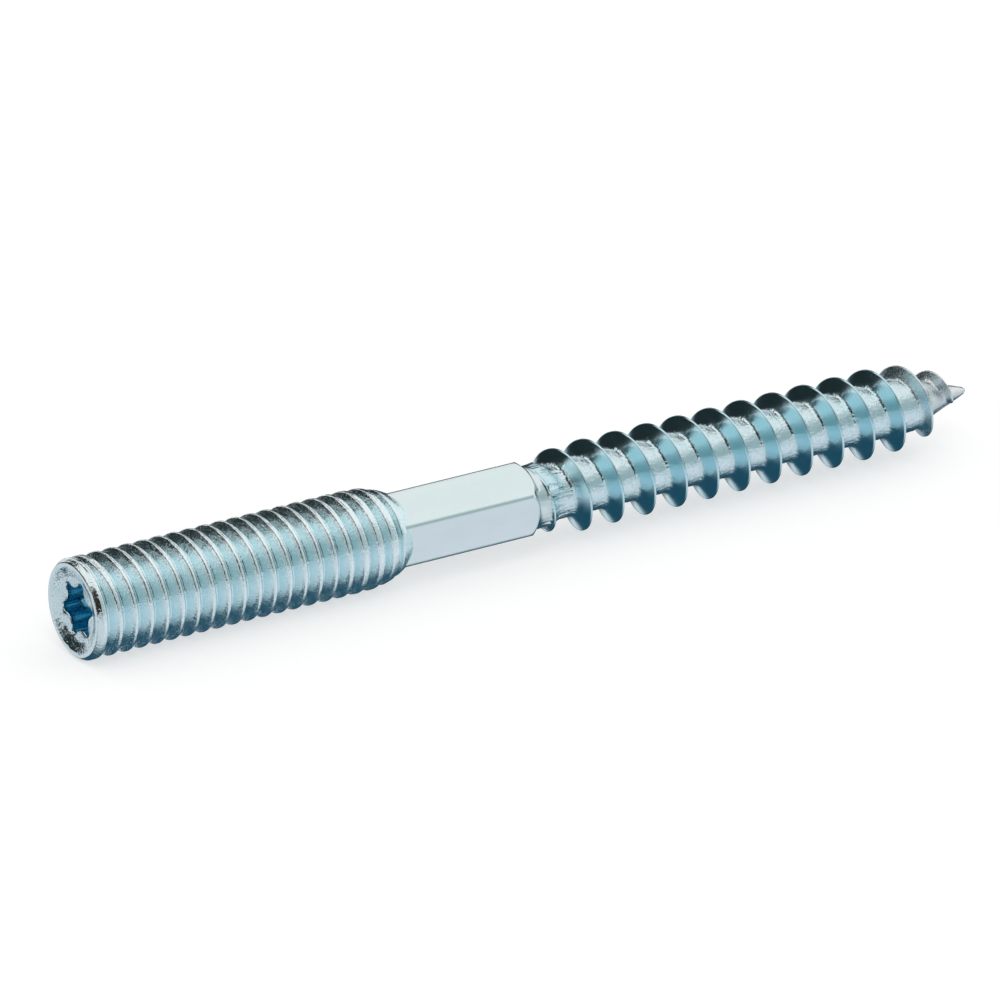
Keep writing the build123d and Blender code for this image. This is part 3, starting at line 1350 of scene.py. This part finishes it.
CARDS: tuple[Card, ...] = (
    Card(
        "pale_ground", (-15.0, -15.0, -0.5), (30.0, 0.0, 0.0), (0.0, 30.0, 0.0),
        (0.70, 0.76, 0.80), (0.02, 0.02), (0.02, 0.02),
    ),
    # A dark card far under the floor, seen only in reflections: a painted shadow standing in
    # for the floor in the bolt's own shadow.
    Card(
        "painted_floor_shadow", (-0.80, -0.25, -0.4), (1.7, 0.0, 0.0), (0.0, 0.77, 0.0),
        (0.022, 0.085, 0.13), (0.3, 0.2), (0.45, 0.2),
    ),
    Card(
        "pale_patch", (-0.5975, 0.112, -0.38), (0.4446, 0.167, 0.0), (-0.080, 0.213, 0.0),
        (0.74, 0.80, 0.84), (0.2, 0.25), (0.3, 0.1),
    ),
    Card(
        "dark_wall", (-1.60, 0.45, -0.10), (1.67, 0.0, 0.0), (0.0, 0.0, 0.66),
        (0.02, 0.03, 0.032), (0.36, 0.08), (0.1, 0.3),
    ),
    Card(
        "dark_behind", (0.13, 0.47, -0.46), (1.0, 0.0, 0.0), (0.0, 0.0, 0.91),
        (0.03, 0.05, 0.06), (0.15, 0.3), (0.1, 0.3),
    ),
    Card(
        "dark_high", (-0.10, 0.06, 0.80), (0.55, 0.0, 0.0), (0.0, 0.9, 0.0),
        (0.03, 0.04, 0.04), (0.2, 0.35), (0.25, 0.3),
    ),
    Card(
        "dark_left", (-0.62, 0.45, 0.22), (0.0, -0.75, 0.0), (0.0, 0.0, 0.44),
        (0.03, 0.03, 0.028),
    ),
    Card(
        "pale_front", (0.05, -1.8, -0.47), (1.7, 0.0, 0.0), (0.0, 1.6, 0.0),
        (0.84, 0.86, 0.93),
    ),
    Card(
        "grey_left", (-0.6, 0.22, -0.13), (0.0, -0.52, 0.0), (0.0, 0.0, 0.34),
        (0.43, 0.57, 0.60), (0.3, 0.3), (0.03, 0.69),
    ),
    Card(
        "grey_front", (-0.2, -0.55, -0.01), (1.6, 0.0, 0.0), (0.0, 0.0, 1.2),
        (0.40, 0.50, 0.52), (0.2, 0.2), (0.02, 0.88),
    ),
    Card(
        "dark_camera", (-0.56, -0.12, -0.01), (0.60, -0.50, 0.0), (0.0, 0.0, 0.80),
        (0.03, 0.022, 0.02), (0.25, 0.25), (0.03, 0.5),
    ),
)


@dataclass(frozen=True)
class Studio:
    """The floor, the world, the cards, the lamp and the camera.

    The camera's place is in millimetres from the middle of the drive end, and its focal
    length is in pixels of the picture. The lamp's radiance is how bright its face is, where
    1 is white.
    """

    camera_place: Triple = (-288.525, -501.766, 252.89)
    right: Triple = (0.8457, -0.5336, 0.0)
    up: Triple = (0.2090, 0.3313, 0.9201)
    forward: Triple = (0.4910, 0.7781, -0.3917)
    focal_pixels: float = 11364.0
    picture: float = 1000.0
    sensor: float = 36.0
    sight: Pair = (0.01, 100.0)
    white: Triple = (1.0, 1.0, 1.0)
    world_light: float = 0.75
    floor_level: float = -CAD_RADIUS * MM
    floor_size: float = 12.0
    floor_colour: Triple = (0.9, 0.9, 0.9)
    shadowed_colour: Triple = (0.6, 0.6, 0.6)
    floor_glow: float = 0.53
    lamp_place: Triple = (-0.25, -0.45, 0.75)
    lamp_size: float = 0.5
    lamp_radiance: float = 1.2

    def camera(self) -> None:
        """Puts the camera where the photograph was taken from."""
        data = bpy.data.cameras.new("camera")
        data.sensor_width = self.sensor
        data.lens = self.focal_pixels / self.picture * self.sensor
        data.clip_start, data.clip_end = self.sight
        made = put("camera", data)
        axes = Matrix((self.right, self.up, [-c for c in self.forward])).transposed()
        place = Matrix.Translation(Vector(self.camera_place) * MM)
        made.matrix_world = place @ axes.to_4x4()
        bpy.context.scene.camera = made

    def world(self) -> None:
        """Lights the bolt from all round, with a white background."""
        world = bpy.data.worlds.new("studio")
        bpy.context.scene.world = world
        nodes = Nodes(world)
        light = nodes.plain("Background", self.white, self.world_light)
        backdrop = nodes.plain("Background", self.white)
        nodes.surface("OutputWorld", nodes.seen(), light, backdrop)

    def floor(self) -> None:
        """Lays the pale floor that the bolt rests on, with a glow that the eye sees."""
        paper = bpy.data.materials.new("floor")
        nodes = Nodes(paper)
        bright = nodes.add("AddShader")
        nodes.link(nodes.plain("BsdfDiffuse", self.shadowed_colour), bright.inputs[0])
        nodes.link(nodes.plain("Emission", self.white, self.floor_glow), bright.inputs[1])
        plain = nodes.plain("BsdfDiffuse", self.floor_colour)
        nodes.surface("OutputMaterial", nodes.seen(), plain, bright.outputs[0])
        half = self.floor_size / 2.0
        around = ((-half, -half), (half, -half), (half, half), (-half, half))
        made = panel("floor", [(*corner, self.floor_level) for corner in around], paper)
        made.visible_glossy = False

    def lamp(self) -> None:
        """Hangs a square soft lamp that faces the middle of the bolt."""
        data = bpy.data.lights.new("soft_lamp", "AREA")
        data.shape = "SQUARE"
        data.size = self.lamp_size
        data.energy = self.lamp_radiance * math.pi * self.lamp_size**2
        made = put("soft_lamp", data)
        place = Vector(self.lamp_place)
        middle = Vector((BOLT_LENGTH / 2.0 * MM, 0.0, 0.0))
        turned = (middle - place).to_track_quat("-Z", "Y")
        made.matrix_world = Matrix.Translation(place) @ turned.to_matrix().to_4x4()
        made.visible_glossy = False

    def build(self) -> None:
        """Sets the whole studio up."""
        self.camera()
        self.world()
        self.floor()
        for card in CARDS:
            card.build()
        self.lamp()


def main() -> None:
    """Loads the frame, builds the bolt and the studio, and hides the frame's own part."""
    logging.basicConfig(level=logging.INFO, format="%(name)s: %(message)s")
    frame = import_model()
    LOG.info("frame loaded with nodes %s", sorted(frame["nodes"]))
    bolt = Bolt()
    made = bolt.build()
    bolt.dress(made)
    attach(made, "root")
    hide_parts("hanger_bolt")
    LOG.info("%s has %d faces", made.name, len(made.data.polygons))
    Studio().build()
    bpy.context.scene.view_settings.view_transform = "Standard"


if __name__ == "__main__":
    main()
